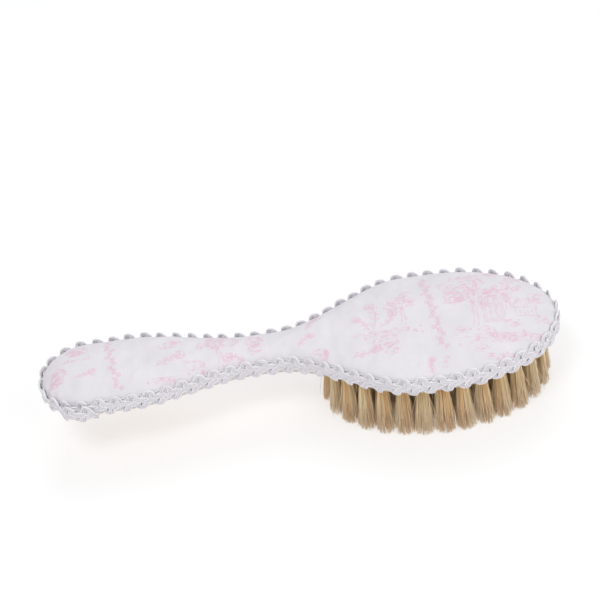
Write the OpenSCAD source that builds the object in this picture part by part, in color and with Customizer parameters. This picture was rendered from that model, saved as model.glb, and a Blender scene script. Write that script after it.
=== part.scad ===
// Vanity hairbrush: a drilled beech block with natural bristle tufts, a padded fabric-covered back
// and a gimp braid glued round the edge. Millimetres.
// +X runs from the handle to the head and +Z is up. The bristle tips stand on Z = 0, and the
// origin is under the middle of the brush.

/* [Outline] */
// Overall length, over the braid
length = 172; // [164:1:184]
// Greatest width of the head, over the braid
head_w = 54.8; // [53:0.2:60]
// Greatest width of the handle, over the braid
handle_w = 32; // [28:0.5:36]
// Width of the neck, over the braid
neck_w = 16.4; // [15:0.2:22]
// Length of the rounded handle end
handle_end = 16; // [13:0.5:20]
// Length of the half oval at the tip of the head
head_end = 40.6; // [36:0.2:48]
// Where the handle starts to narrow, from the handle end
taper_start = 29.4; // [24:0.2:34]
// Where the neck starts, from the handle end
neck_start = 71.9; // [68:0.1:75]
// Where the neck ends, from the handle end
neck_stop = 78.2; // [76:0.2:80]
// Where the head reaches its full width, from the handle end
head_full = 122.9; // [118:0.1:126]

/* [Body] */
// Thickness of the beech block
block_t = 4.4; // [4.2:0.1:7]
// Thickness of the glue film, and of the fabric
fabric_t = 0.4; // [0.3:0.05:0.6]
// Thickness of the stiffening board
board_t = 0.8; // [0.6:0.1:1.5]
// Width of the cover's margin that is turned under the board
hem_w = 5; // [3:0.5:6]
// Rise of the wadding from its edge to the middle of the head
crown_h = 4.0; // [2:0.1:5]
// Height of the wadding at its edge
wadding_edge = 0.3; // [0.3:0.1:0.8]

/* [Braid] */
// Height of the gimp braid
braid_h = 7.8; // [6.5:0.1:9]
// Thickness of the gimp braid
braid_t = 2.0; // [1.5:0.1:2.4]
// How far the braid reaches below the block's face
braid_drop = 0.5; // [0:0.1:1]

/* [Bristles] */
// Free length of the bristles below the block's face
bristle_l = 19.6; // [15:0.1:24]
// Radius of a tuft hole
hole_r = 1.5; // [1.3:0.05:1.7]
// Depth of a tuft hole
hole_depth = 3.6; // [3.2:0.1:3.8]
// Radius of a tuft at its tips
tip_r = 2.55; // [2:0.05:2.7]
// Distance along a ring from tuft to tuft, at least
tuft_pitch = 6.2; // [6:0.1:7]
// Length of the bristle field between the outer tufts' centres
field_l = 68.8; // [62:0.2:70]
// Width of the bristle field between the outer tufts' centres
field_w = 42.9; // [41:0.1:43]
// Distance from one ring of tufts to the next
ring_step = 5.9; // [5.8:0.1:6]
// How far the field's middle lies from the tip of the head
field_middle = 41.8; // [39:0.1:44]

/* [Hidden] */

// Levels, from the bristle tips up
face_z = bristle_l;
block_top = face_z + block_t;
board_z = block_top + fabric_t;
pad_z = board_z + board_t;
braid_z = face_z - braid_drop;

// Insets from the outer outline
block_inset = braid_t;
cover_inset = braid_t;
board_inset = cover_inset + fabric_t;

// The crown's height follows the width of the brush by this power, so that a narrow neck stays low
crown_power = 0.4;
// Shape of the crown across the brush: more crown_shape makes its middle flatter, and a
// shoulder under 1 rounds its edge
crown_shape = 2.2;
shoulder = 0.72;
// Stations along one side of the outline
stations = 60;
// The line that the crowned surfaces close on, from the handle end
spine_start = handle_end;
spine_stop = length - head_end;
// Shares of the way from the spine to the edge, for the rings of a crowned surface
crown_shares = [1, 0.99, 0.965, 0.92, 0.84, 0.72, 0.55, 0.34, 0.1];

// Clearance of a tuft in its hole
tuft_clear = 0.05;
root_r = hole_r - tuft_clear;
// The anchor is a flat wire, wider than the hole, so that it bites into the wood
anchor_l = 2 * hole_r + 0.4;
anchor_w = 0.5;
anchor_h = 1.4;
// Thickness of the bristles' fold over the anchor
fold_t = 0.6;
hole_top = face_z + hole_depth;
anchor_z = hole_top - tuft_clear - fold_t - anchor_h;
round_fn = 32;

// ---- Outline ----

function smooth(t) = let (u = min(max(t, 0), 1)) u * u * (3 - 2 * u);
function blend(a, b, t) = a + (b - a) * smooth(t);

// Quarter oval that closes an end: 1 inside the brush, 0 at the end itself
function oval(distance, end_length) =
    distance >= end_length ? 1 : sqrt(max(0, 1 - pow(1 - distance / end_length, 2)));

// Half the width of the brush over the braid, at a distance x from the handle end
function half_width(x) =
    (blend(handle_w / 2, neck_w / 2, (x - taper_start) / (neck_start - taper_start))
     + (head_w - neck_w) / 2 * smooth((x - neck_stop) / (head_full - neck_stop)))
    * oval(x, handle_end) * oval(length - x, head_end);

// Station j of the outline's +Y side, counted from the handle end. Stations beyond the ends
// fall on the -Y side.
function edge_point(j) =
    let (x = length / 2 * (1 - cos(180 * j / stations)))
    [x, (j < 0 || j > stations ? -1 : 1) * half_width(x)];

// The same station moved in from the outline, square to it
function inset_point(j, inset) =
    let (along = edge_point(j + 1) - edge_point(j - 1), p = edge_point(j))
    p + inset * [along.y, -along.x] / norm(along);

// A closed ring of points: the +Y side from the handle to the head, then the -Y side back.
// share draws the ring in towards the spine, and lift is the crown's height at share 0.
function ring(inset, z, share = 1, lift = 0) =
    let (side = [for (j = [0:stations])
        let (p = inset_point(j, inset), foot = min(max(p.x, spine_start), spine_stop),
             rise = lift * pow(2 * half_width(foot) / head_w, crown_power))
        [foot + share * (p.x - foot) - length / 2, share * p.y,
         z + rise * pow(1 - pow(share, crown_shape), shoulder)]])
    [for (p = side) p, for (j = [stations - 1:-1:1]) [side[j].x, -side[j].y, side[j].z]];

module outline_area(inset) {
    polygon([for (p = ring(inset, 0)) [p.x, p.y]]);
}

// ---- Skins through rings of points ----

function flat(lists) = [for (list = lists) each list];

// Two triangles for each pair of neighbours on rings a and b
function wall(a, b, n) = flat([for (k = [0:n - 1])
    let (m = (k + 1) % n)
    [[a * n + k, a * n + m, b * n + m], [a * n + k, b * n + m, b * n + k]]]);

// Strips across a ring, from its +Y side to its -Y side
function lid(a, n, up) = [for (j = [0:n / 2 - 1])
    let (strip = [for (k = j == 0 ? [j, j + 1, n - j - 1] :
                           j == n / 2 - 1 ? [j, j + 1, n - j] :
                           [j, j + 1, n - j - 1, n - j]) a * n + k])
    up ? strip : [for (k = [len(strip) - 1:-1:0]) strip[k]]];

// A solid whose skin runs over the rings in turn and is closed across the first and the last
module lofted(rings) {
    n = len(rings[0]);
    last = len(rings) - 1;
    walls = flat([for (i = [0:last - 1]) wall(i, i + 1, n)]);
    polyhedron(flat(rings), concat(walls, lid(0, n, false), lid(last, n, true)));
}

// A band whose skin runs over the rings and back to the first
module looped(rings) {
    n = len(rings[0]);
    count = len(rings);
    polyhedron(flat(rings), flat([for (i = [0:count - 1]) wall(i, (i + 1) % count, n)]));
}

// Rings of the crowned surface at a height over the board. grow thickens it outwards.
function crown_rings(grow) = [for (share = crown_shares)
    ring(board_inset - grow, pad_z + wadding_edge + grow, share, crown_h)];

// ---- Parts of the body ----

module brush_block() {
    color("ivory") difference() {
        translate([0, 0, face_z]) linear_extrude(block_t) outline_area(block_inset);
        for (r = [1:4]) at_tufts(r) {
            translate([0, 0, face_z - 1]) cylinder(h = hole_depth + 1, r = hole_r, $fn = round_fn);
            anchor();
        }
    }
}

module glue_film() {
    color("lightyellow") translate([0, 0, block_top]) linear_extrude(fabric_t)
        outline_area(board_inset + hem_w + fabric_t);
}

module stiffening_board() {
    color("tan") translate([0, 0, board_z]) linear_extrude(board_t) outline_area(board_inset);
}

module wadding_pad() {
    color("white") lofted(concat([ring(board_inset, pad_z)], crown_rings(0)));
}

// One sheet of fabric: over the pad, down the board's edge, and turned under as a hem
module fabric_cover() {
    inner = crown_rings(0);
    outer = crown_rings(fabric_t);
    last = len(inner) - 1;
    color("lavenderblush") lofted(concat(
        [for (i = [last:-1:0]) inner[i]],
        [ring(board_inset, board_z), ring(board_inset + hem_w, board_z),
         ring(board_inset + hem_w, block_top), ring(cover_inset, block_top)],
        outer));
}

// The braid is a band with eased edges, flat against the block and the cover
module gimp_braid() {
    ease = braid_t / 3;
    top = braid_z + braid_h;
    color("whitesmoke") looped([
        ring(ease, braid_z), ring(0, braid_z + ease), ring(0, top - ease), ring(ease, top),
        ring(braid_t, top), ring(braid_t, braid_z)]);
}

// ---- Tufts ----

// Half sizes of the oval that ring r runs along
function ring_half(r) = [field_l / 2 - (r - 1) * ring_step, field_w / 2 - (r - 1) * ring_step];
function on_oval(half, angle) = [half.x * cos(angle), half.y * sin(angle)];

// Distance run along an oval against the angle, so that tufts can be spaced evenly
oval_steps = 144;
function oval_run(half) = [for (i = 0, run = 0; i <= oval_steps;
    run = run + norm(on_oval(half, (i + 1) * 360 / oval_steps) - on_oval(half, i * 360 / oval_steps)),
    i = i + 1) [run, i * 360 / oval_steps]];

// Places of ring r's tufts, counted from the one nearest the tip of the head
function tuft_places(r) =
    let (half = ring_half(r), run = oval_run(half), total = run[oval_steps][0],
         count = 2 * floor(total / tuft_pitch / 2))
    [for (i = [0:count - 1])
        on_oval(half, lookup(i * total / count, run)) + [length / 2 - field_middle, 0]];

module at_tufts(r) {
    for (p = tuft_places(r)) translate([p.x, p.y, 0]) children();
}

module anchor() {
    translate([-anchor_w / 2, -anchor_l / 2, anchor_z]) cube([anchor_w, anchor_l, anchor_h]);
}

// A bundle of bristles folded over its anchor, flared towards the tips
module tuft() {
    difference() {
        union() {
            cylinder(h = face_z, r1 = tip_r, r2 = root_r, $fn = round_fn);
            translate([0, 0, face_z]) cylinder(h = hole_depth - tuft_clear, r = root_r, $fn = round_fn);
        }
        anchor();
    }
}

module bristle_tufts(r) {
    color("wheat") at_tufts(r) tuft();
}

module wire_anchors(r) {
    color("silver") at_tufts(r) anchor();
}

brush_block();
glue_film();
stiffening_board();
wadding_pad();
fabric_cover();
gimp_braid();
for (r = [1:4]) {
    bristle_tufts(r);
    wire_anchors(r);
}
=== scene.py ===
"""The looks of a vanity hairbrush: printed cotton over a padded back, a plaited gimp braid, and bristles."""

import math

import bpy
import numpy as np
from mathutils import Matrix, Vector


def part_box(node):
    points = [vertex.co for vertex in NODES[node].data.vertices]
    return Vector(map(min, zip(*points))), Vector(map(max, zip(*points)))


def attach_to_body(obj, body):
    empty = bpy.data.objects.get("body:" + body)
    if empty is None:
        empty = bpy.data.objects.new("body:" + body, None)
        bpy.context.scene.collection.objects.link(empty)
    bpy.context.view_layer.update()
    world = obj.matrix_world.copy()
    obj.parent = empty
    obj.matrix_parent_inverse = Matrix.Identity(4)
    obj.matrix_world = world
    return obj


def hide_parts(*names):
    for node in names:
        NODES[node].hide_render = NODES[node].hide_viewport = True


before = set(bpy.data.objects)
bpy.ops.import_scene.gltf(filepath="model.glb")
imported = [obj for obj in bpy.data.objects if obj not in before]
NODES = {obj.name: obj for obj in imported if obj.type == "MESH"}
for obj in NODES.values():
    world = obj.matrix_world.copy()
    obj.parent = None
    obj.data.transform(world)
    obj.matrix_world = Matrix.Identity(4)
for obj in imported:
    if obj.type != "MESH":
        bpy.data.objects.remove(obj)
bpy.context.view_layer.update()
SCENE = bpy.context.scene


def box_mm(node):
    low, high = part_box(node)
    return np.array(low) * 1000, np.array(high) * 1000


BRAID_LOW, BRAID_HIGH = box_mm("gimp_braid")
BLOCK_BOTTOM, COVER_BOTTOM, PAD_BOTTOM = (
    box_mm(node)[0][2] for node in ("brush_block", "fabric_cover", "wadding_pad")
)

# The outline and the crown, in millimetres, with the CAD's own sizes and shape
LENGTH = BRAID_HIGH[0] - BRAID_LOW[0]
HEAD_W = BRAID_HIGH[1] - BRAID_LOW[1]
HANDLE_W, NECK_W = 32.0, 16.4
HANDLE_END, HEAD_END = 16.0, 40.6
TAPER_START, NECK_START, NECK_STOP, HEAD_FULL = 29.4, 71.9, 78.2, 122.9
BRAID_T = 2.0
CLOTH_T = 0.4
HEM_W = 5.0
WADDING_EDGE = 0.3
CROWN_H, CROWN_POWER, CROWN_SHAPE, SHOULDER = 4.0, 0.4, 2.2, 0.72
SPINE = (HANDLE_END - LENGTH / 2, LENGTH / 2 - HEAD_END)
OUTLINE_STEPS = 2400  # points on each side of the outline


def smooth(t):
    t = np.clip(t, 0, 1)
    return t * t * (3 - 2 * t)


def half_width(x):
    """Half the brush's width over the braid, at x from the handle end."""
    ends = [
        np.sqrt(np.clip(1 - np.clip(1 - d / size, 0, 1) ** 2, 0, 1))
        for d, size in ((x, HANDLE_END), (LENGTH - x, HEAD_END))
    ]
    taper = smooth((x - TAPER_START) / (NECK_START - TAPER_START))
    flare = smooth((x - NECK_STOP) / (HEAD_FULL - NECK_STOP))
    body = HANDLE_W / 2 + (NECK_W - HANDLE_W) / 2 * taper + (HEAD_W - NECK_W) / 2 * flare
    return body * ends[0] * ends[1]


def unit(vectors):
    return vectors / np.linalg.norm(vectors, axis=1)[:, None]


def outline(inset):
    """The outline moved in by inset: points and outward normals, anticlockwise from the handle end."""
    x = LENGTH / 2 * (1 - np.cos(np.linspace(0, math.pi, OUTLINE_STEPS + 1)))
    y = half_width(x)
    p = np.concatenate([np.stack([x, -y], 1), np.stack([x, y], 1)[-2:0:-1]])
    along = np.roll(p, -1, 0) - np.roll(p, 1, 0)
    normal = unit(np.stack([along[:, 1], -along[:, 0]], 1))
    p = p - inset * normal
    p[:, 0] -= LENGTH / 2
    return p, normal


def run_along(path):
    """The distance run along a path at each of its points."""
    return np.concatenate([[0], np.cumsum(np.linalg.norm(np.diff(path, axis=0), axis=1))])


def read_path(path, run, at):
    """The points of a path at the given distances along it."""
    return np.stack([np.interp(at, run, column) for column in path.T], 1)


def directions(angle):
    return np.stack([np.cos(angle), np.sin(angle)], -1)


class Track:
    """A closed outline that can be read by the distance run along it."""

    def __init__(self, inset):
        self.p, self.n = (np.concatenate([column, column[:1]]) for column in outline(inset))
        self.run = run_along(self.p)
        self.total = self.run[-1]

    def at(self, s):
        s = np.mod(s, self.total)
        return read_path(self.p, self.run, s), unit(read_path(self.n, self.run, s))


def add_object(name, data):
    made = bpy.data.objects.new(name, data)
    SCENE.collection.objects.link(made)
    return made


def make_piece(name, points_mm, faces, attributes, material):
    """A mesh object from points in millimetres and faces as an index array."""
    mesh = bpy.data.meshes.new(name)
    points = np.asarray(points_mm, np.float32) * 0.001
    faces = np.asarray(faces, np.int32)
    count, corners = faces.shape
    mesh.vertices.add(len(points))
    mesh.vertices.foreach_set("co", points.ravel())
    mesh.loops.add(count * corners)
    mesh.loops.foreach_set("vertex_index", faces.ravel())
    mesh.polygons.add(count)
    mesh.polygons.foreach_set("loop_start", np.arange(count, dtype=np.int32) * corners)
    mesh.polygons.foreach_set("use_smooth", np.ones(count, bool))
    for key, values in attributes:
        mesh.attributes.new(key, "FLOAT", "POINT").data.foreach_set("value", np.asarray(values, np.float32))
    mesh.update(calc_edges=True)
    mesh.validate()
    mesh.materials.append(material)
    return add_object(name, mesh)


# ---- Materials ----


def rgba(colour):
    """A plain colour with its alpha. A socket is left as it is."""
    return (*colour, 1) if isinstance(colour, tuple) else colour


class Nodes:
    """Short ways to build a material's nodes."""

    def __init__(self, name):
        self.material = bpy.data.materials.new(name)
        self.material.use_nodes = True
        self.tree = self.material.node_tree
        self.shader = self.tree.nodes["Principled BSDF"]

    def link(self, value, socket):
        if isinstance(value, bpy.types.NodeSocket):
            self.tree.links.new(value, socket)
        else:
            socket.default_value = value

    def node(self, kind, inputs=(), out=0, **settings):
        made = self.tree.nodes.new(kind)
        for key, value in settings.items():
            setattr(made, key, value)
        for key, value in inputs:
            self.link(value, made.inputs[key])
        return made.outputs[out]

    def math(self, operation, a, b=0.0, clamp=False):
        return self.node("ShaderNodeMath", [(0, a), (1, b)], operation=operation, use_clamp=clamp)

    def times(self, a, b, clamp=False):
        return self.math("MULTIPLY", a, b, clamp)

    def line(self, value, gain, base):
        return self.math("ADD", self.times(value, gain), base)

    def attribute(self, name):
        return self.node("ShaderNodeAttribute", attribute_name=name, out="Fac")

    def place(self):
        return self.node("ShaderNodeTexCoord", out="Object")

    def above(self, value, floor, gain):
        """How far a value stands above a floor, times a gain, kept from 0 to 1."""
        return self.times(self.math("SUBTRACT", value, floor), gain, clamp=True)

    def noise(self, vector, scale, detail, roughness=0.5):
        inputs = [("Vector", vector), ("Scale", scale), ("Detail", detail), ("Roughness", roughness)]
        return self.node("ShaderNodeTexNoise", inputs)

    def streaks(self, vector, scales, detail, roughness=0.5):
        """Noise with its own scale along each axis."""
        stretched = self.node("ShaderNodeMapping", [("Vector", vector), ("Scale", scales)])
        return self.noise(stretched, 1.0, detail, roughness)

    def ramp(self, factor, *stops):
        made = self.tree.nodes.new("ShaderNodeValToRGB")
        while len(made.color_ramp.elements) < len(stops):
            made.color_ramp.elements.new(1.0)
        for element, (where, colour) in zip(made.color_ramp.elements, stops):
            element.position = where
            element.color = rgba(colour)
        self.link(factor, made.inputs["Fac"])
        return made.outputs["Color"]

    def mix(self, factor, a, b):
        # A Mix node's sockets 0, 6 and 7 are its factor and two colours, and its colour comes out of 2
        return self.node("ShaderNodeMix", [(0, factor), (6, rgba(a)), (7, rgba(b))], out=2, data_type="RGBA")

    def bump(self, height, distance, strength):
        inputs = [("Height", height), ("Distance", distance), ("Strength", strength)]
        return self.node("ShaderNodeBump", inputs)

    def finish(self, colour, roughness, normal=None, **sockets):
        self.link(rgba(colour), self.shader.inputs["Base Color"])
        self.link(roughness, self.shader.inputs["Roughness"])
        if normal:
            self.link(normal, self.shader.inputs["Normal"])
        for key, value in sockets.items():
            self.link(value, self.shader.inputs[key.replace("_", " ").title().replace("Ior", "IOR")])
        return self.material


def printed_cotton():
    cloth_shade, cloth_light, slub = (0.79, 0.765, 0.80), (0.855, 0.828, 0.858), (0.70, 0.69, 0.72)
    bleed, line = (0.88, 0.54, 0.66), (0.78, 0.30, 0.45)
    thread_gap = 0.00027
    n = Nodes("printed_cotton")
    place = n.place()
    # A satin-faced weave: fine threads both ways, with slubs along them
    split = n.node("ShaderNodeSeparateXYZ", [(0, place)]).node
    turn = 2 * math.pi / thread_gap
    warp, weft = (n.math("SINE", n.times(split.outputs[axis], turn)) for axis in "XY")
    weave = n.times(warp, weft)
    slubs = n.math("ADD", n.streaks(place, (260, 3600, 600), 2.0), n.streaks(place, (3600, 260, 600), 2.0))
    cloth = n.ramp(n.noise(place, 95.0, 3.0), (0.3, cloth_shade), (0.72, cloth_light))
    cloth = n.mix(n.above(slubs, 0.8, 0.55), cloth, slub)
    # The ink sits on the threads' crowns, so it breaks up a little in the weave
    ink = n.above(n.attribute("ink"), 0.20, 2.4)
    grain = n.line(n.noise(place, 2600.0, 1.0), 0.5, 0.08)
    colour = n.mix(n.times(n.attribute("haze"), 0.42), cloth, bleed)
    colour = n.mix(n.times(ink, grain, clamp=True), colour, line)
    height = n.math("ADD", n.times(weave, 0.5), n.times(slubs, 0.9))
    normal = n.bump(height, 0.00003, 0.55)
    rough = n.line(slubs, 0.10, 0.52)
    return n.finish(colour, rough, normal, sheen_weight=0.25, sheen_roughness=0.45, specular_ior_level=0.35)


def rayon_cord(name, tone):
    """A cord of two plies twisted together, each of fine filaments that run with the twist."""
    painted_groove_shade, fray_tint, painted_shade_tone = (0.74, 0.71, 0.80), (0.76, 0.73, 0.82), 0.82
    twist_mm, filament_count = 1.5, 14.0
    n = Nodes(name)
    around = n.math("ARCTAN2", n.attribute("sin_around"), n.attribute("cos_around"))
    fray = n.noise(n.place(), 1500.0, 2.0)
    turn = n.math("SUBTRACT", around, n.times(n.attribute("along"), 2 * math.pi / twist_mm))
    plies = n.math("ABSOLUTE", n.math("COSINE", turn))
    filaments = n.math("SINE", n.times(turn, filament_count))
    # Painted shade: the colour darkens towards a grey lilac in the grooves where the two plies meet
    groove_shade_mask = n.math("POWER", n.math("SUBTRACT", 1.0, plies), 3.0)
    # Painted shade: a cord's shade attribute darkens its tone, most on the inner cords of each strand and on
    # the backing cords
    colour = n.mix(n.attribute("shade"), tone, tuple(c * painted_shade_tone for c in tone))
    colour = n.mix(n.times(groove_shade_mask, 0.35, clamp=True), colour, painted_groove_shade)
    colour = n.mix(n.above(fray, 0.4, 0.5), colour, fray_tint)
    height = n.math("ADD", n.times(plies, 3.0), n.times(filaments, 0.25))
    normal = n.bump(n.math("ADD", height, fray), 0.00003, 0.7)
    rough = n.line(fray, 0.22, 0.24)
    return n.finish(
        colour, rough, normal, sheen_weight=0.15, sheen_roughness=0.35, specular_ior_level=0.6,
        subsurface_weight=0.3, subsurface_radius=(1.0, 1.0, 1.0), subsurface_scale=0.0010)


def bristle_hair():
    """Hairs that run from a warm root to a paler tip, each between a dark and a pale one. The deep amber at
    the root is partly the hairs' own colour and partly painted glow of light passing through them.
    """
    where = (0.0, 0.4, 1.0)
    dark = (1.0, 0.52, 0.13), (0.93, 0.60, 0.29), (0.86, 0.60, 0.37)
    pale = (1.0, 0.76, 0.38), (1.0, 0.86, 0.57), (1.0, 0.84, 0.62)
    n = Nodes("natural_bristle")
    along = n.attribute("along")
    colour = n.mix(n.attribute("tint"), n.ramp(along, *zip(where, dark)), n.ramp(along, *zip(where, pale)))
    scale = n.streaks(n.place(), (2400, 2400, 500), 2.0)
    colour = n.mix(n.times(scale, 0.12), colour, (0.50, 0.28, 0.09))
    normal = n.bump(scale, 0.00001, 0.4)
    rough = n.line(scale, 0.2, 0.32)
    return n.finish(colour, rough, normal, specular_ior_level=0.4)


def beech():
    late_wood, mid_wood, early_wood = (0.44, 0.265, 0.14), (0.585, 0.38, 0.215), (0.66, 0.455, 0.275)
    ring_tint, fleck_tint = (0.52, 0.32, 0.17), (0.36, 0.20, 0.10)
    n = Nodes("sealed_beech")
    place = n.place()
    grain = n.streaks(place, (30, 620, 620), 5.0, 0.62)
    rings = n.streaks(place, (9, 110, 170), 3.0)
    flecks = n.streaks(place, (420, 2300, 2300), 1.0)
    colour = n.ramp(grain, (0.3, late_wood), (0.5, mid_wood), (0.72, early_wood))
    colour = n.mix(n.above(rings, 0.42, 1.8), colour, ring_tint)
    colour = n.mix(n.above(flecks, 0.6, 5.0), colour, fleck_tint)
    normal = n.bump(n.math("ADD", grain, n.times(flecks, 0.6)), 0.00006, 0.35)
    rough = n.line(grain, 0.25, 0.28)
    return n.finish(colour, rough, normal, coat_weight=0.35, coat_roughness=0.22)


def fibre(name, low, high, scale, roughness=0.9):
    n = Nodes(name)
    strands = n.streaks(n.place(), (scale, scale * 0.3, scale), 6.0, 0.7)
    colour = n.ramp(strands, (0.32, low), (0.68, high))
    rough = n.line(strands, 0.1, roughness - 0.08)
    return n.finish(colour, rough, n.bump(strands, 0.0002, 0.6))


def drawn_wire():
    n = Nodes("anchor_wire")
    lines = n.streaks(n.place(), (3000, 300, 3000), 3.0)
    colour = n.ramp(lines, (0.3, (0.42, 0.40, 0.36)), (0.7, (0.60, 0.58, 0.54)))
    rough = n.line(lines, 0.25, 0.25)
    return n.finish(colour, rough, n.bump(lines, 0.00002, 0.4), metallic=1.0)


# ---- The print: a garden scene in fine pink line, drawn stroke by stroke ----


class Print:
    """Strokes gathered on a plan grid of the brush, in millimetres.

    The ink of a stroke is how dark it is, 1 at full strength.
    """

    STEP = 0.1  # of the grid
    DOT_STEP = 0.07  # along a stroke
    LINE_POINTS, ARC_POINTS, VINE_DENSITY = 9, 36, 5
    DOT_SPREAD, DOT_INK = 1.9, 0.5  # in square grid steps, and how fast dots add up to solid ink
    BLEED = 5  # reach of the faint bleed, in grid steps

    def __init__(self, seed):
        self.rng = np.random.default_rng(seed)
        self.vary = self.rng.uniform
        self.dots, self.weights = [], []

    def stroke(self, points, ink):
        points = np.asarray(points, float)
        run = run_along(points)
        if run[-1] < 1e-6:
            return
        s = np.arange(0, run[-1], self.DOT_STEP)
        # The line swells and fades like a graver's
        press = 0.8 + 0.35 * np.sin(s * 1.7 + self.vary(0, 6))
        self.dots.append(read_path(points, run, s))
        self.weights.append(press * ink)

    def line(self, a, b, ink=1.0, wobble=0.05):
        t = np.linspace(0, 1, self.LINE_POINTS)[:, None]
        p = a + (np.asarray(b) - a) * t
        p[1:-1] += self.rng.normal(0, wobble, (self.LINE_POINTS - 2, 2))
        self.stroke(p, ink)

    def arc(self, centre, radius, start, stop, ink=1.0, squeeze=1.0, bumps=0, depth=0.0):
        t = np.linspace(math.radians(start), math.radians(stop), self.ARC_POINTS)
        r = radius + depth * np.abs(np.sin(np.linspace(0, math.pi * bumps, self.ARC_POINTS)))
        self.stroke(centre + np.stack([r * np.cos(t), r * squeeze * np.sin(t)], 1), ink)

    def hatch(self, centre, width, height, gap, angle, ink):
        c, s = math.cos(math.radians(angle)), math.sin(math.radians(angle))
        for v in np.arange(-height / 2, height / 2, gap):
            across = math.sqrt(max(0.05, 1 - (2 * v / height) ** 2))
            reach = width / 2 * across * self.vary(0.6, 1)
            a, b = (-reach, v), (reach, v + self.vary(-0.2, 0.2))
            ends = [np.asarray(centre) + (c * u - s * w, s * u + c * w) for u, w in (a, b)]
            self.line(*ends, ink, 0.04)

    def leaf(self, root, angle, length, ink, fat=0.28):
        """An almond leaf in outline."""
        u = np.linspace(0, 1, 10)
        for swell in (-fat, fat):
            w = swell * length * np.sin(math.pi * u)
            q = np.stack([length * u * math.cos(angle) - w * math.sin(angle),
                          length * u * math.sin(angle) + w * math.cos(angle)], 1)
            self.stroke(root + q, ink)

    def foliage(self, centre, width, height, ink=1.0):
        """A mass of leaves: short scalloped curls all over it, closer and hatched on its shaded side."""
        centre = np.asarray(centre, float)
        for _ in range(int(width * height * 1.15)):
            a = self.vary(0, 2 * math.pi)
            r = math.sqrt(self.vary(0, 1)) * self.vary(0.85, 1.1)
            c = centre + (0.5 * width * r * math.cos(a), 0.5 * height * r * math.sin(a))
            size = self.vary(0.35, 0.8)
            start = self.vary(0, 60) if r < 0.6 else math.degrees(a) - 80
            stop, faint = start + self.vary(110, 190), self.vary(0.6, 1.0)
            bumps = int(self.rng.integers(1, 4))
            self.arc(c, size, start, stop, ink * faint, 0.8, bumps, 0.2 * size)
        shade = centre + (0.16 * width, -0.2 * height)
        self.hatch(shade, width * 0.6, height * 0.45, 0.7, 28, ink * 0.55)

    def tree(self, foot, height, spread, lean, ink=1.0):
        """A leaning trunk with a few limbs, and a crown of several masses of leaves."""
        foot = np.asarray(foot, float)
        top = foot + (lean, height * 0.55)
        for side in (-1, 1):
            t = np.linspace(0, 1, 12)[:, None]
            p = foot + (top - foot) * t
            p[:, 0] += side * (0.8 - 0.5 * t[:, 0]) + 0.4 * np.sin(t[:, 0] * 4)
            self.stroke(p, ink)
        self.hatch((foot + top) / 2 + (0.2, 0), 0.7, height * 0.45, 0.75, 35, ink * 0.6)
        masses = (-0.42, 0.62, 0.62), (0.45, 0.66, 0.58), (-0.12, 0.80, 0.66), (0.2, 0.95, 0.42)
        for out, up, size in masses:
            middle = foot + (lean + out * spread, height * up)
            self.line(top - (0, height * 0.1), middle, ink * 0.8, 0.2)
            self.foliage(middle, spread * size * 1.15, spread * size * 0.8, ink)

    def ground(self, left, right, ink=0.9, *, rows):
        """Broken ground lines with tufts of grass."""
        left, right = np.asarray(left, float), np.asarray(right, float)
        for k in range(rows):
            trim = self.vary(0, 0.35, 2)
            drop = np.array([0, -0.8 * k])
            self.line(left + (right - left) * trim[0] + drop, right + (left - right) * trim[1] + drop,
                      ink * (1 - 0.12 * k), 0.12)
        for _ in range(int(np.linalg.norm(right - left) / 1.8)):
            at = left + (right - left) * self.vary(0, 1) + (0, self.vary(-0.8 * rows, 0))
            for blade in (-0.5, 0, 0.5):
                self.line(at, at + (blade, self.vary(0.6, 1.3)), ink * 0.8, 0.02)

    def flower(self, centre, radius, ink):
        """Six petals round a small ring."""
        for turn in range(0, 360, 60):
            a = math.radians(turn + 10)
            petal = centre + (radius * 0.62 * math.cos(a), radius * 0.62 * math.sin(a))
            self.arc(petal, radius * 0.42, turn - 100, turn + 120, ink)
        self.arc(centre, radius * 0.22, 0, 360, ink)

    def spray(self, root, angle, length, ink=1.0):
        """A bent stem with almond leaves to both sides and a bloom at its tip."""
        t = np.linspace(0, 1, 24)
        a = math.radians(angle)
        bend = self.vary(-0.25, 0.25) * length
        p = root + np.stack(
            [length * t * math.cos(a) - bend * np.sin(t * 2.4) * math.sin(a),
             length * t * math.sin(a) + bend * np.sin(t * 2.4) * math.cos(a)], 1)
        self.stroke(p, ink)
        for k, side in zip(range(3, 22, 3), (1, -1) * 4):
            self.leaf(p[k], a + side * math.radians(48), length * 0.13 + 0.6, ink)
        self.flower(p[-1], min(1.7, length * 0.2), ink)

    def vine(self, start, stop, swing):
        """A climbing stem with curled tendrils and leaves to both sides."""
        start, stop = np.asarray(start, float), np.asarray(stop, float)
        run = np.linalg.norm(stop - start)
        d = (stop - start) / run
        side = np.array([-d[1], d[0]])
        u = np.linspace(0, run, int(run * self.VINE_DENSITY))
        p = start + d * u[:, None] + side * (swing * 0.55 * np.sin(u * 1.05))[:, None]
        self.stroke(p, 1.2)
        heading = math.atan2(d[1], d[0])
        for k, s in enumerate(np.arange(0.8, run - 0.6, 1.25)):
            at = p[min(int(s * self.VINE_DENSITY), len(p) - 1)]
            turn = 1 if k % 2 else -1
            t = np.linspace(0, 4.2, 24)
            curl = (1.1 - 0.2 * t) * swing * 0.6
            across, onward = swing * 0.6 - curl * np.cos(t), curl * np.sin(t)
            self.stroke(at + turn * side * across[:, None] + d * onward[:, None], 1.0)
            self.leaf(at, heading + turn * math.radians(125), swing * 1.05, 1.0, 0.32)

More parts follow.
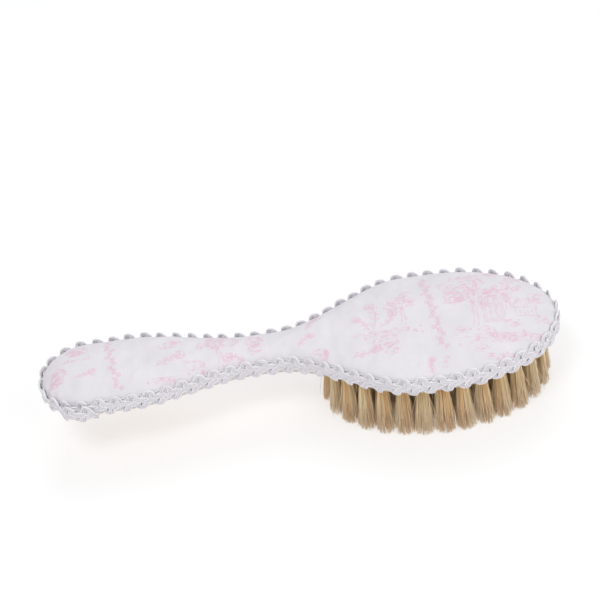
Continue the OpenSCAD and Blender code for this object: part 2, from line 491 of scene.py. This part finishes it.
    def pavilion(self, foot, width, height):
        """A plain garden pavilion: steps, four posts, a beam and a domed roof."""
        x, y = foot
        w = width / 2
        for k in range(3):
            self.line((x - w - 0.9 + 0.4 * k, y + 0.6 * k), (x + w + 0.9 - 0.4 * k, y + 0.6 * k))
        base, beam = y + 1.7, y + height * 0.55
        for u in np.linspace(-w, w, 4):
            for side in (-0.35, 0.35):
                self.line((x + u + side, base), (x + u + side, beam))
        for k in range(3):
            self.line((x - w - 0.8, beam + 0.65 * k), (x + w + 0.8, beam + 0.65 * k), wobble=0.06)
        top, rise = beam + 1.4, (height * 0.45 - 1.4) / (w + 0.4) * 0.86
        for share in (1.0, 0.66, 0.33):
            self.arc((x, top), (w + 0.4) * share, 0, 180, 1.0, rise / share)
        self.line((x, y + height - 0.8), (x, y + height + 0.8), wobble=0.02)
        self.arc((x, y + height + 1.1), 0.4, 0, 360)
        self.hatch((x + w * 0.45, top + 1.6), w * 0.7, 2.4, 0.6, 60, 0.6)

    def cottage(self, foot, width, height):
        """A plain cottage: walls, a hatched roof, a door, two windows and a chimney."""
        x, y = foot
        w, eaves, top = width / 2, y + height * 0.5, y + height
        for side in (-1, 1):
            wall, window = x + side * w, x + side * w * 0.55
            self.line((wall, y), (wall, eaves), wobble=0.04)
            self.line((x + side * (w + 0.6), eaves), (x + side * w * 0.6, top), wobble=0.04)
            self.line((window - 0.5, y + 1.6), (window + 0.5, y + 1.6), wobble=0.02)
            self.line((window, y + 1.2), (window, y + 2.4), wobble=0.02)
        for level, reach in ((y, w), (eaves, w + 0.6), (top, w * 0.6)):
            self.line((x - reach, level), (x + reach, level))
        for u in np.arange(-w * 0.5, w * 0.6, 0.75):
            self.line((x + u * 1.5, eaves + 0.2), (x + u, top - 0.2), 0.6, 0.03)
        for side in (-0.5, 0.5):
            self.line((x + side, y), (x + side, y + height * 0.3), wobble=0.02)
        for side in (0, 0.8):
            flue = x + w * 0.3 + side
            self.line((flue, top), (flue, top + 1.4), wobble=0.02)

    def bird(self, at, size, ink):
        x, y = at
        for side in (-0.5, 0.5):
            self.arc((x + side * size, y), size * 0.5, 15, 165, ink, 0.6)

    def fields(self):
        """The grid's lower corner, and on the grid the ink and the faint bleed round it, from 0 to 1."""
        low = np.array([-LENGTH / 2, -HEAD_W / 2]) - 2
        size = np.ceil((np.array([LENGTH, HEAD_W]) + 4) / self.STEP).astype(int)
        dots, weights = np.concatenate(self.dots), np.concatenate(self.weights)
        grid = np.zeros(size)
        at = (dots - low) / self.STEP
        cell = np.floor(at).astype(int)
        keep = ((cell > 2) & (cell < size - 3)).all(1)
        at, cell, weights = at[keep], cell[keep], weights[keep]
        for i in range(-1, 3):
            for j in range(-1, 3):
                q = cell + (i, j)
                d2 = ((q - at) ** 2).sum(1)
                np.add.at(grid, (q[:, 0], q[:, 1]), weights * np.exp(-d2 / self.DOT_SPREAD))
        ink = 1 - np.exp(-grid * self.DOT_INK)
        haze = ink
        for axis in (0, 1):
            for _ in range(3):
                total = np.cumsum(haze, axis)
                ahead, behind = (np.roll(total, shift, axis) for shift in (-self.BLEED, self.BLEED))
                haze = (ahead - behind) / (2 * self.BLEED)
        return low, ink, haze

    def read(self, x, y):
        """The ink and the bleed at plan points."""
        low, *grids = self.fields()
        u, v = (x - low[0]) / self.STEP, (y - low[1]) / self.STEP
        i, j = (np.clip(w.astype(int), 0, grids[0].shape[k] - 2) for k, w in enumerate((u, v)))
        a, b = u - i, v - j
        return [
            g[i, j] * (1 - a) * (1 - b) + g[i + 1, j] * a * (1 - b)
            + g[i, j + 1] * (1 - a) * b + g[i + 1, j + 1] * a * b
            for g in grids
        ]


def garden_print():
    """The whole scene. Plan places are in millimetres from the middle of the brush."""
    p = Print(20)

    def masses(*places):
        for x, y, *size in places:
            p.foliage((x, y), *size)

    # Head: a pavilion and a cottage among trees, over long ground lines
    masses((57.5, 17.8, 9, 4.5, 0.8), (66.0, 19.6, 9, 4.0, 0.8), (73.8, 15.4, 6, 4.0, 0.8))
    p.tree((57.8, -9.0), 25, 11, 0.6)
    p.tree((69.0, -3.0), 17, 8.0, 0.5, 0.8)
    p.pavilion((64.3, -7.5), 5.8, 13.5)
    p.cottage((74.6, -5.5), 6.6, 8.0)
    masses((79.0, 3.0, 4.5, 6.0, 0.8), (53.2, -10.0, 5.2, 2.8), (60.6, -11.0, 4.6, 2.8))
    masses((69.8, -8.4, 4.6, 2.8), (79.4, -7.4, 4.6, 2.8))
    p.ground((50.5, -12.2), (80.5, -12.8), rows=5)
    p.ground((54.0, -20.0), (74.0, -21.2), 0.8, rows=3)
    masses((57.5, -18.2, 5.0, 2.6, 0.8), (50.8, 12.5, 4.6, 6.5), (60.8, 3.0, 5.5, 6.0, 0.5))
    masses((70.4, 3.5, 5.0, 7.0, 0.5), (66.0, -14.6, 8.0, 3.4, 0.6), (74.8, -15.0, 6.0, 3.2, 0.6))
    p.spray((48.5, 4.0), 20, 6)
    masses((46.2, -21.4, 2.4, 3.4))
    p.spray((42.0, -25.0), 80, 5)
    p.bird((77.0, 11.0), 1.6, 0.8)
    # A climbing vine on each side of the neck
    p.vine((43.6, 21.5), (46.6, -17.0), 1.35)
    p.vine((-63.3, 12.2), (-57.8, -13.0), 1.2)
    # Middle: flowers and a small tree on a mound
    p.tree((35.0, -4.0), 17, 7.5, 0.4)
    p.spray((25.5, -3.5), 100, 12)
    p.spray((27.5, -3.5), 62, 8)
    p.spray((24.0, -3.5), 132, 7)
    p.ground((17.5, -4.8), (41.0, -5.6), rows=4)
    masses((28.6, -10.4, 8.0, 5.0), (30.5, -14.2, 4.0, 2.4))
    p.spray((17.5, -13.5), 15, 8)
    # Neck and handle: sprays and foliage
    masses((-79.6, -4.5, 4.6, 7.0, 0.8), (-73.5, 7.2, 6.5, 4.0, 0.7), (6.5, -9.5, 7.0, 3.6))
    p.spray((0.5, -5.0), 35, 6)
    p.spray((3.5, 2.0), 50, 7)
    masses((-13.5, -1.0, 5.5, 8.0))
    p.spray((-16.0, -7.5), 165, 7)
    p.ground((-36.0, -8.8), (-12.0, -7.8), rows=3)
    p.tree((-25.0, -8.0), 15, 8, -0.6)
    masses((-33.5, -6.3, 6.0, 3.0))
    p.spray((-46.0, -5.5), 25, 9)
    masses((-41.0, 4.8, 7.0, 4.2))
    p.ground((-51.0, -10.2), (-39.0, -9.8), 0.8, rows=3)
    masses((-78.3, -3.4, 5.0, 7.5), (-73.0, 8.0, 7.0, 4.6))
    p.ground((-80.5, 2.8), (-66.5, 3.4), 0.7, rows=2)
    p.spray((-72.5, -5.5), 15, 6, 0.7)
    return p


# ---- The padded cover ----

FACE_STEP, UNDER_STEP = 0.285, 1.25  # between the cover's points, above and inside
HALVINGS = 34
# The cloth simulation, in a sheet ten times life size and with its own coarse spacing
SIM_STEP, SIM_UNIT, SIM_FRAMES, SIM_START = 1.7, 0.01, 25, 0.92
PRESSURE, SHRINK = 1.5, -0.02
FOLD_REACH, FOLD_LIMIT, FOLD_BLEND = 7.0, 0.3, 0.9


def share_of(x, y, inset):
    """How far plan points lie from the spine (0) to the edge at that inset (1), and their spine points."""
    p, _ = outline(inset)
    upper = p[p[:, 1] >= 0]
    upper = upper[np.argsort(upper[:, 0])]
    foot = np.clip(x, *SPINE)

    def reach(s):
        return s * np.interp(foot + (x - foot) / s, upper[:, 0], upper[:, 1], left=0, right=0)

    low, high = np.full(len(x), 1e-4), np.ones(len(x))
    for _ in range(HALVINGS):
        mid = (low + high) / 2
        beyond = (reach(mid) <= np.abs(y)) | (np.abs((x - foot) / mid) > LENGTH)
        low, high = np.where(beyond, mid, low), np.where(beyond, high, mid)
    return high, foot


def crown(x, y, inset, edge_z):
    """Height of the crowned surface over plan points, and how far out each one lies."""
    share, foot = share_of(x, y, inset)
    rise = CROWN_H * (2 * half_width(foot + LENGTH / 2) / HEAD_W) ** CROWN_POWER
    return edge_z + rise * np.clip(1 - share**CROWN_SHAPE, 0, 1) ** SHOULDER, share


def zip_columns(columns, faces):
    """Triangles between neighbouring columns of points. A column is (indices, y places), both rising."""
    for (a, ya), (b, yb) in zip(columns, columns[1:]):
        i = j = 0
        while i < len(a) - 1 or j < len(b) - 1:
            if j == len(b) - 1 or (i < len(a) - 1 and ya[i + 1] <= yb[j + 1]):
                faces.append((a[i], b[j], a[i + 1]))
                i += 1
            else:
                faces.append((a[i], b[j], b[j + 1]))
                j += 1


def fill_columns(ring, first, spacing, points, faces, extra=()):
    """Fills a ring of points with columns of points across it. Returns where the new points start."""
    count = len(ring) // 2
    start = len(points)
    columns = [([first], [ring[0][1]])]
    for k in range(1, count):
        below, above = ring[k], ring[len(ring) - k]
        x, w = (below[0] + above[0]) / 2, above[1]
        inner = np.linspace(-w, w, max(2, int(round(2 * w / spacing))) + 1)[1:-1]
        near = [d for d in extra if d < w - spacing]
        inner = np.array(sorted([*inner, *(w - d for d in near), *(d - w for d in near)]))
        index = list(range(len(points), len(points) + len(inner)))
        points.extend((x, y) for y in inner)
        columns.append(([first + k, *index, first + len(ring) - k], [below[1], *inner, above[1]]))
    columns.append(([first + count], [ring[count][1]]))
    zip_columns(columns, faces)
    return start


def stations(spacing, inset):
    """Outline points at an even spacing, the same number on each side, as indices into outline()."""
    p, _ = outline(inset)
    half = len(p) // 2
    run = run_along(p[: half + 1])
    count = int(round(run[-1] / spacing))
    side = np.searchsorted(run, np.linspace(0, run[-1], count + 1)[1:-1])
    return np.concatenate([[0], side, [half], len(p) - side[::-1]])


def ripple(x, y, waves, low, high, seed):
    """A smooth random field of about 1 high, from plane waves with wavelengths from low to high."""
    rng = np.random.default_rng(seed)
    total = np.zeros(len(x))
    for _ in range(waves):
        a, k = rng.uniform(0, math.pi), 2 * math.pi / rng.uniform(low, high)
        total += np.sin(k * (x * math.cos(a) + y * math.sin(a)) + rng.uniform(0, 6.28))
    return total / math.sqrt(waves)


def spread(at, plan, values, width):
    """Values given at plan points, read at other places with a smooth weight of that width."""
    out = []
    for part in np.array_split(at, max(1, len(at) // 3000)):
        weight = np.exp(-((part[:, None] - plan[None]) ** 2).sum(2) / (2 * width**2)) + 1e-12
        out.append(weight @ values / weight.sum(1))
    return np.concatenate(out)


def settled_cloth(at, edge_z):
    """Folds of the cover, from a cloth simulation held along the edge and pressed out from below.

    A fold is the settled sheet's height above or below its own smooth form, in millimetres.
    """
    edge = outline(BRAID_T)[0][stations(SIM_STEP, BRAID_T)]
    points, faces, count = list(map(tuple, edge)), [], len(edge)
    fill_columns(points[:count], 0, SIM_STEP, points, faces)
    plan = np.array(points)
    smooth_z = crown(*plan.T, BRAID_T, edge_z)[0]
    smooth_z[:count] = edge_z
    start = SIM_START * (smooth_z - edge_z) + 0.05 * ripple(*plan.T, 20, 4, 12, 21)
    mesh = bpy.data.meshes.new("settling")
    corners = [tuple(map(int, face)) for face in faces]
    mesh.from_pydata((np.column_stack([plan, start]) * SIM_UNIT).tolist(), [], corners)
    sheet = add_object("settling", mesh)
    sheet.vertex_groups.new(name="edge").add(list(range(count)), 1.0, "REPLACE")
    cloth = sheet.modifiers.new("cloth", "CLOTH")
    how = cloth.settings
    how.quality, how.mass, how.air_damping = 8, 0.15, 3.0
    how.tension_stiffness = how.compression_stiffness = 25
    how.shear_stiffness, how.bending_stiffness = 8, 0.05
    how.vertex_group_mass = "edge"
    how.shrink_min = how.shrink_max = SHRINK
    how.use_pressure, how.uniform_pressure_force = True, PRESSURE
    how.effector_weights.gravity = 0
    cloth.point_cache.frame_start, cloth.point_cache.frame_end = 1, SIM_FRAMES
    for frame_number in range(1, SIM_FRAMES + 1):
        SCENE.frame_set(frame_number)
    done = sheet.evaluated_get(bpy.context.evaluated_depsgraph_get())
    height = np.array([v.co.z for v in done.data.vertices]) / SIM_UNIT + edge_z
    bpy.data.objects.remove(sheet)
    bpy.data.meshes.remove(mesh)
    SCENE.frame_set(1)
    off = height - smooth_z
    fold = off - spread(plan, plan, off, FOLD_REACH)
    fold[:count] = 0
    return spread(at, plan, FOLD_LIMIT * np.tanh(fold / FOLD_LIMIT), FOLD_BLEND)


def padded_cover(material):
    """One sheet: the crowned face, its rolled shoulder, the side, the hem under the board, and the inside."""
    at = stations(FACE_STEP, BRAID_T)
    count = len(at)
    under_z, inside_z, inner = COVER_BOTTOM, PAD_BOTTOM + WADDING_EDGE, BRAID_T + CLOTH_T
    edge_z = inside_z + CLOTH_T
    # Each ring's inset from the outline, and its height
    rings = [
        (BRAID_T, edge_z), (BRAID_T - 0.20, edge_z - 0.22), (BRAID_T - 0.28, edge_z - 0.55),
        (BRAID_T - 0.05, edge_z - 1.2), (BRAID_T, under_z + 0.25), (BRAID_T + 0.2, under_z),
        (inner + HEM_W, under_z), (inner + HEM_W, under_z + CLOTH_T),
        (inner, under_z + CLOTH_T), (inner, inside_z),
    ]
    points, faces, under = [], [], []
    for inset, _ in rings:
        points.extend(map(tuple, outline(inset)[0][at]))
    last = (len(rings) - 1) * count
    for a in range(0, last, count):
        b, i = a + count, np.arange(count)
        j = (i + 1) % count
        faces.extend(zip(a + i, b + i, b + j))
        faces.extend(zip(a + i, b + j, a + j))
    top = fill_columns(points[:count], 0, FACE_STEP, points, faces, extra=(0.04, 0.12))
    bottom = fill_columns(points[last : last + count], last, UNDER_STEP, points, under)
    faces.extend((a, c, b) for a, b, c in under)
    plan = np.array(points)
    x, y = plan[top:bottom].T
    face, share = crown(x, y, BRAID_T, edge_z)
    face += settled_cloth(plan[top:bottom], edge_z)
    # Cloth over wadding: a soft unevenness, and short pulls where it goes over the edge
    soft = np.sqrt(np.clip(1 - share, 0, 1))
    face += 0.10 * ripple(x, y, 18, 9, 30, 3) * soft
    face += 0.030 * ripple(x, y, 26, 3, 7, 5) * soft
    past_spine = x - np.clip(x, *SPINE)
    angle = np.arctan2(y, past_spine + 1e-6 * np.sign(x))
    round_end = smooth(np.abs(past_spine) / 6.0)
    pull = np.exp(-(1 - share) * 7.0) * (1 - np.exp(-(1 - share) * 60))
    face += 0.22 * pull * round_end * np.sin(angle * 17 + 2.0 * np.sin(angle * 5))
    face += 0.10 * pull * (1 - round_end) * ripple(x, y * 0.3, 14, 4, 9, 8)
    inside = crown(*plan[bottom:].T, inner, inside_z)[0]
    z = np.concatenate([np.repeat([height for _, height in rings], count), face, inside])
    ink, haze = garden_print().read(*plan.T)
    points = np.column_stack([plan, z])
    return make_piece("fabric_cover_sheet", points, faces, [("ink", ink), ("haze", haze)], material)


# ---- The gimp braid ----

PITCH = 5.4  # from one loop to the next
WAVE = 3 * PITCH
LAP_FROM, LAP_TO = -76.5, -66.0  # where the two ends lie, along X
CORDS, CORD_R, CORD_GAP, CORD_STEP = 4, 0.29, 0.53, 0.36
LOOP_R, LOOP_TURN, BEND_R = 0.95, 95, 1.0
STRAND_OUT, STRAND_DEPTH = 1.10, 0.50  # from the wood, and how far they weave in and out
CORE_ROWS, CORE_OUT, CORE_R = np.linspace(-2.9, 1.8, 9), 0.37, 0.31


def half_plait(swing):
    """Half a strand's wave, from a top loop to the next bottom one: loop, bend back and long crossing."""
    a, quarter, low = math.radians(LOOP_TURN), WAVE / 4, swing - LOOP_R
    sin, cos, slope = math.sin(a), math.cos(a), 0.2
    for _ in range(60):
        x = LOOP_R * sin + BEND_R * (sin - math.sin(slope))
        y = low + LOOP_R * cos - BEND_R * (math.cos(slope) - cos)
        slope = math.atan2(y, quarter - x)
    t = np.linspace(0, a, 30)
    loop = np.stack([LOOP_R * np.sin(t), low + LOOP_R * np.cos(t)], 1)
    t = np.linspace(a, slope, 24)[1:]
    bend = loop[-1] + BEND_R * np.array([sin, cos]) - BEND_R * np.stack([np.sin(t), np.cos(t)], 1)
    first = np.concatenate([loop, bend])
    return np.concatenate([first, [[quarter, 0.0]], [2 * quarter, 0] - first[::-1]])


def strand_path(offset, begin, finish, swing):
    """A strand's middle line as distance along, height, and depth from back (-1) to front (1)."""
    half = half_plait(swing)
    rows = []
    first = int((begin - offset) / (WAVE / 2)) - 2
    last = int((finish - offset) / (WAVE / 2)) + 2
    for k in range(first, last):
        x = offset + k * WAVE / 2 + half[:-1, 0]
        rows.append(np.column_stack([x, half[:-1, 1] * (-1) ** k]))
    path = np.concatenate(rows)
    run = run_along(path)
    x, y = read_path(path, run, np.arange(0, run[-1], 0.06)).T
    # A strand leaves each loop in front, and comes to the next one at the back
    u = np.mod((x - offset) / (WAVE / 2), 1)
    depth = (1 - 2 * u) * smooth(np.minimum(u, 1 - u) / 0.11)
    keep = (x > begin) & (x < finish)
    return x[keep], y[keep], depth[keep]


def tube(path, up, radius, sides=10):
    """A tube round a path: points, faces, and each point's distance and the cosine and sine of its angle."""
    count = len(path)
    along = unit(np.gradient(path, axis=0))
    side = unit(np.cross(along, up))
    top = np.cross(side, along)
    a = np.linspace(0, 2 * math.pi, sides, endpoint=False)
    cos, sin = np.cos(a), np.sin(a)
    ring = cos[None, :, None] * side[:, None] + sin[None, :, None] * top[:, None]
    ring *= np.broadcast_to(radius, (count,))[:, None, None]
    points = (path[:, None] + ring).reshape(-1, 3)
    i = np.arange(count - 1)[:, None] * sides
    j = np.arange(sides)[None, :]
    k = (j + 1) % sides
    quads = np.stack([i + j, i + sides + j, i + sides + k, i + k], -1).reshape(-1, 4)
    faces = np.concatenate([quads[:, [0, 1, 2]], quads[:, [0, 2, 3]]])
    caps = []
    for base, order in ((0, 1), ((count - 1) * sides, -1)):
        caps.extend((base, base + m, base + m + 1)[::order] for m in range(1, sides - 1))
    faces = np.concatenate([faces, np.array(caps)])
    return points, faces, np.repeat(run_along(path), sides), np.tile(cos, count), np.tile(sin, count)


def braid_frame(track, s, across, out, ends):
    """Places band coordinates on the brush: s along the edge, across up the side, out from the wood."""
    p, n = track.at(s)
    begin, finish = ends
    # The last stretch climbs over the first, slips down a little, and its cut end is tucked under
    over = smooth((s - (begin + track.total) + 1.5) / 3.0)
    tuck = smooth((s - finish + 4.0) / 4.0)
    middle = (BRAID_LOW[2] + BRAID_HIGH[2]) / 2 + 0.15
    across = across * (1 - 0.45 * tuck) - 1.1 * over - 1.3 * tuck
    out = out * (1 - 0.25 * tuck) + 1.45 * over - 0.4 * tuck
    # The lower loops turn a little under
    out = out - 0.08 * np.clip(-across - 1.0, 0, None) ** 2
    return np.column_stack([p + n * out[:, None], middle + across])


def even_path(path):
    """A path at even steps, and how far along it each point is, from 0 to 1."""
    run = run_along(path)
    even = np.linspace(0, run[-1], int(run[-1] / CORD_STEP))
    return read_path(path, run, even), even / run[-1]


def outward(track, s):
    """The level direction out of the edge at each distance along it."""
    _, normal = track.at(s)
    return np.column_stack([normal, np.zeros(len(normal))])


def gimp(material_strand, material_core):
    """Three strands of four cords, plaited over a flat backing of straight cords."""
    track = Track(BRAID_T)
    side = len(track.p) // 2
    begin, stop = (np.interp(x, track.p[:side, 0], track.run[:side]) for x in (LAP_FROM, LAP_TO))
    finish = track.total + stop
    ends = (begin, finish)
    rng = np.random.default_rng(7)
    swing = (BRAID_HIGH[2] - BRAID_LOW[2]) / 2 - (CORDS - 1) / 2 * CORD_GAP - CORD_R
    # Each loop is a little different, as in a laid trim
    knots = np.arange(begin - WAVE, finish + WAVE, PITCH / 2)

    def wander(at, size, middle=0):
        return np.interp(at, knots, middle + rng.normal(0, size, len(knots)))

    pieces = []
    for strand in range(3):
        s, across, depth = strand_path(strand * PITCH, begin, finish, swing)
        across = across * wander(s, 0.05, 1) + wander(s, 0.07)
        out = STRAND_OUT + STRAND_DEPTH * depth
        ds, da = np.gradient(s), np.gradient(across)
        norm = np.hypot(ds, da)
        s = s + wander(s, 0.15) + 0.08 * across
        tubes = []
        for cord in range(CORDS):
            place = cord - (CORDS - 1) / 2
            off = place * CORD_GAP + 0.04 * wander(s, 1)
            cs, ca = s - da / norm * off, across + ds / norm * off
            co = out + 0.08 * (1 - abs(place) / 1.5) + 0.03 * np.sin(s * 0.9 + cord * 2)
            path, share = even_path(braid_frame(track, cs, ca, co, ends))
            at = np.interp(share, np.linspace(0, 1, len(s)), s)
            radius = CORD_R * (1 + 0.05 * wander(at, 1))
            made = tube(path, outward(track, at), radius)
            # Painted shade: the two inner cords of each strand get 0.6 more shade than the outer ones; the
            # first 0 to 0.2 is random tone per cord
            shade = rng.uniform(0, 0.2) + (0.6 if abs(place) < 1 else 0.0)
            tubes.append((*made, np.full(len(made[0]), shade)))
        pieces.append(cord_piece(f"gimp_strand_{strand + 1}", tubes, material_strand))
    tubes = []
    steps = np.arange(begin + 0.5, finish - 1.5, 0.7)
    for row in CORE_ROWS:
        across = row + 0.05 * np.sin(steps * 0.8 + row * 9)
        path = braid_frame(track, steps, across, np.full(len(steps), CORE_OUT), ends)
        made = tube(path, outward(track, steps), CORE_R, 8)
        # Painted shade: the backing cords, which lie behind the strands, all get 0.4 shade
        tubes.append((*made, np.full(len(made[0]), 0.4)))
    pieces.append(cord_piece("gimp_core_cords", tubes, material_core))
    return pieces


def cord_piece(name, tubes, material):
    """Several tubes as one piece."""
    points, faces, columns, start = [], [], [], 0
    for p, f, *rest in tubes:
        points.append(p)
        faces.append(f + start)
        columns.append(rest)
        start += len(p)
    keys = ("along", "cos_around", "sin_around", "shade")
    attributes = list(zip(keys, map(np.concatenate, zip(*columns))))
    return make_piece(name, np.concatenate(points), np.concatenate(faces), attributes, material)


# ---- Bristles ----

HAIR_SIDES, CLUMPS, STRAYS = 3, 11, 0.05
HAIR_STEPS = (0.0, 1.0), (0.25, 1.0), (0.6, 0.95), (1.0, 0.7)  # along a hair, and its thickness there
HAIR_THICK = 0.072, 0.108  # half the thickness
ROOT_Z, ROOT_R, TIP_R, CLUMP_R = 1.8, 1.36, 3.5, 3.1  # roots start up in their hole
LEAN = 0.6, 0.5, 0.3, 0.05  # outwards, from the outer ring to the inner one
GOLDEN_TURN = 2.4


def tuft_centres(node):
    """Centres of a node's separate solids, one for each tuft."""
    mesh = NODES[node].data
    co = np.array([v.co for v in mesh.vertices], float) * 1000
    same = np.unique(np.round(co, 3), axis=0, return_inverse=True)[1].reshape(-1)
    ends = same[np.array([e.vertices[:] for e in mesh.edges])]
    label = np.arange(same.max() + 1)
    while True:
        new = label.copy()
        np.minimum.at(new, ends, label[ends].min(1)[:, None])
        if (new == label).all():
            break
        label = new
    solid = label[same]
    tufts = [co[solid == k, :2] for k in np.unique(solid)]
    return np.array([(tuft.min(0) + tuft.max(0)) / 2 for tuft in tufts])


def bristles(ring, hairs, material):
    """A ring of tufts, hair by hair: each hair starts in its hole and splays out in a loose clump."""
    rng = np.random.default_rng(40 + ring)
    centres = tuft_centres(f"bristle_tufts_ring_{ring}")
    field = centres.mean(0)
    root_z = BLOCK_BOTTOM + ROOT_Z
    # Hairs gather into clumps, laid out on a spiral
    number = np.arange(CLUMPS)
    spiral = directions(number * GOLDEN_TURN) * (CLUMP_R * np.sqrt((number + 0.5) / CLUMPS))[:, None]
    corner = np.linspace(0, 2 * math.pi, HAIR_SIDES, endpoint=False)
    per = hairs * HAIR_SIDES
    points, faces, along, tints, start = [], [], [], [], 0
    for centre in centres:
        out = centre - field
        out = out / max(np.linalg.norm(out), 1e-6)
        lean = out * LEAN[ring - 1] + rng.normal(0, 0.14, 2)
        u = np.sqrt(rng.uniform(0, 1, hairs))
        a = rng.uniform(0, 2 * math.pi, hairs)
        spoke = directions(a)
        root = centre + spoke * (u * ROOT_R)[:, None]
        tip = spoke * (TIP_R * u**0.85)[:, None] + rng.normal(0, 0.2, (hairs, 2))
        middles = spiral + rng.normal(0, 0.3, (CLUMPS, 2))
        clump = np.linalg.norm(tip[:, None] - middles, axis=2).argmin(1)
        tip += (middles[clump] - tip) * rng.uniform(0.0, 0.4, hairs)[:, None]
        tip += centre + lean
        # Tips stand a little off the floor, and a few strays bend away and end early
        tip_z = rng.beta(1.1, 4.0, hairs) * 0.75 + 0.25 * u**3 + 0.02
        stray = rng.uniform(0, 1, hairs) < STRAYS
        tip[stray] += rng.normal(0, 1.3, (int(stray.sum()), 2))
        tip_z[stray] += rng.uniform(0.3, 7.0, int(stray.sum()))
        bow = rng.normal(0, 0.25, (hairs, 2)) - spoke * 0.15
        bow[stray] *= 3.0
        thick = rng.uniform(*HAIR_THICK, hairs)
        # The hairs of one clump are much alike in colour
        tint = np.clip(rng.uniform(0.1, 0.95, CLUMPS)[clump] + rng.normal(0.08, 0.2, hairs), 0, 1)
        around = directions(corner[None] + a[:, None])
        for t, taper in HAIR_STEPS:
            z = root_z + (tip_z - root_z) * t
            p = root + (tip - root) * t**1.1 + bow * math.sin(math.pi * t)
            level = np.broadcast_to(z[:, None, None], (hairs, HAIR_SIDES, 1))
            edge = p[:, None] + around * (thick * taper)[:, None, None]
            points.append(np.concatenate([edge, level], -1).reshape(-1, 3))
            along.append(np.full(per, t))
            tints.append(np.repeat(tint, HAIR_SIDES))
        base = start + np.arange(hairs) * HAIR_SIDES
        last = base + (len(HAIR_STEPS) - 1) * per
        for k in range(len(HAIR_STEPS) - 1):
            for m in range(HAIR_SIDES):
                a0, a1 = base + k * per + m, base + k * per + (m + 1) % HAIR_SIDES
                faces.append(np.stack([a0, a0 + per, a1 + per], 1))
                faces.append(np.stack([a0, a1 + per, a1], 1))
        faces.append(np.stack([base, base + 1, base + 2], 1))
        faces.append(np.stack([last + 2, last + 1, last], 1))
        start += per * len(HAIR_STEPS)
    attributes = [("along", np.concatenate(along)), ("tint", np.concatenate(tints))]
    points, faces = np.concatenate(points), np.concatenate(faces)
    return make_piece(f"bristles_ring_{ring}", points, faces, attributes, material)


# ---- Building ----


def attach(piece, replaced):
    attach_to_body(piece, "root")
    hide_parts(replaced)
    return piece


def repaint(node, material):
    slots = NODES[node].material_slots
    if not slots:
        NODES[node].data.materials.append(material)
    for slot in slots:
        slot.material = material


repaint("brush_block", beech())
repaint("glue_film", fibre("dried_glue", (0.62, 0.52, 0.33), (0.78, 0.70, 0.50), 300, 0.45))
repaint("stiffening_board", fibre("grey_board", (0.30, 0.27, 0.22), (0.52, 0.48, 0.41), 900))
repaint("wadding_pad", fibre("wadding", (0.74, 0.74, 0.73), (0.92, 0.92, 0.91), 500, 0.98))
wire = drawn_wire()
for ring in range(1, 5):
    repaint(f"wire_anchors_ring_{ring}", wire)

cover = attach(padded_cover(printed_cotton()), "fabric_cover")
strand_look = rayon_cord("gimp_rayon", (0.93, 0.90, 0.945))
core_look = rayon_cord("gimp_core", (0.88, 0.85, 0.90))
for piece in gimp(strand_look, core_look):
    attach(piece, "gimp_braid")
hair = bristle_hair()
for ring, hairs in enumerate((340, 280, 230, 230), 1):
    attach(bristles(ring, hairs, hair), f"bristle_tufts_ring_{ring}")

# ---- Floor, light and camera ----

FLOOR_HALF, FLOOR_Z = 6.0, -0.0001
LIGHTS = (  # name, place, size, watts
    ("key", (-0.20, -0.38, 0.84), 0.30, 2.2),
    ("fill", (0.60, -0.45, 0.50), 0.6, 1.8),
    ("back", (0.1, 0.55, 0.75), 0.6, 1.8),
)
CAMERA_ANGLES = 2.88, 38.5, -9.97  # turn, lift and roll
CAMERA_AWAY, CAMERA_LENS, TARGET = 0.49166, 85.46, (0.00198, 0.03007)


def studio():
    mesh = bpy.data.meshes.new("floor")
    corners = [(x * FLOOR_HALF, y * FLOOR_HALF, FLOOR_Z) for x, y in ((-1, -1), (1, -1), (1, 1), (-1, 1))]
    mesh.from_pydata(corners, [], [(0, 1, 2, 3)])
    floor = add_object("floor", mesh)
    look = Nodes("white_floor")
    look.finish((0.5, 0.5, 0.5), 0.9, emission_color=(1, 1, 1, 1), emission_strength=0.54)
    mesh.materials.append(look.material)
    world = bpy.data.worlds.new("studio")
    world.use_nodes = True
    sky = world.node_tree.nodes["Background"].inputs
    sky["Color"].default_value, sky["Strength"].default_value = (0.97, 0.98, 1.0, 1), 0.52
    SCENE.world = world
    for name, place, size, watts in LIGHTS:
        light = bpy.data.lights.new(name, "AREA")
        light.size, light.energy = size, watts
        lamp = add_object(name, light)
        lamp.location = place
        lamp.rotation_mode = "QUATERNION"
        lamp.rotation_quaternion = (-Vector(place)).to_track_quat("-Z", "Y")
    view = SCENE.view_settings
    view.view_transform, view.look, view.exposure, view.gamma = "Standard", "None", 0.0, 1.0


def camera():
    """A long lens, from the -Y side and above.

    The brush is photographed tipped towards its handle end, so the camera is rolled instead.
    """
    turn, lift, roll = map(math.radians, CAMERA_ANGLES)
    level = math.cos(lift)
    back = Vector((math.sin(turn) * level, -math.cos(turn) * level, math.sin(lift)))
    right = Vector((math.cos(turn), math.sin(turn), 0))
    up = back.cross(right)
    c, s = math.cos(roll), math.sin(roll)
    x, y = right * c + up * s, up * c - right * s
    low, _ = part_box("gimp_braid")
    target = Vector((*TARGET, low.z))
    data = bpy.data.cameras.new("camera")
    data.sensor_width, data.lens = 36.0, CAMERA_LENS
    data.clip_start, data.clip_end = 0.01, 50
    cam = add_object("camera", data)
    place = target + back * CAMERA_AWAY
    cam.matrix_world = Matrix.Translation(place) @ Matrix((x, y, back)).transposed().to_4x4()
    SCENE.camera = cam


studio()
camera()
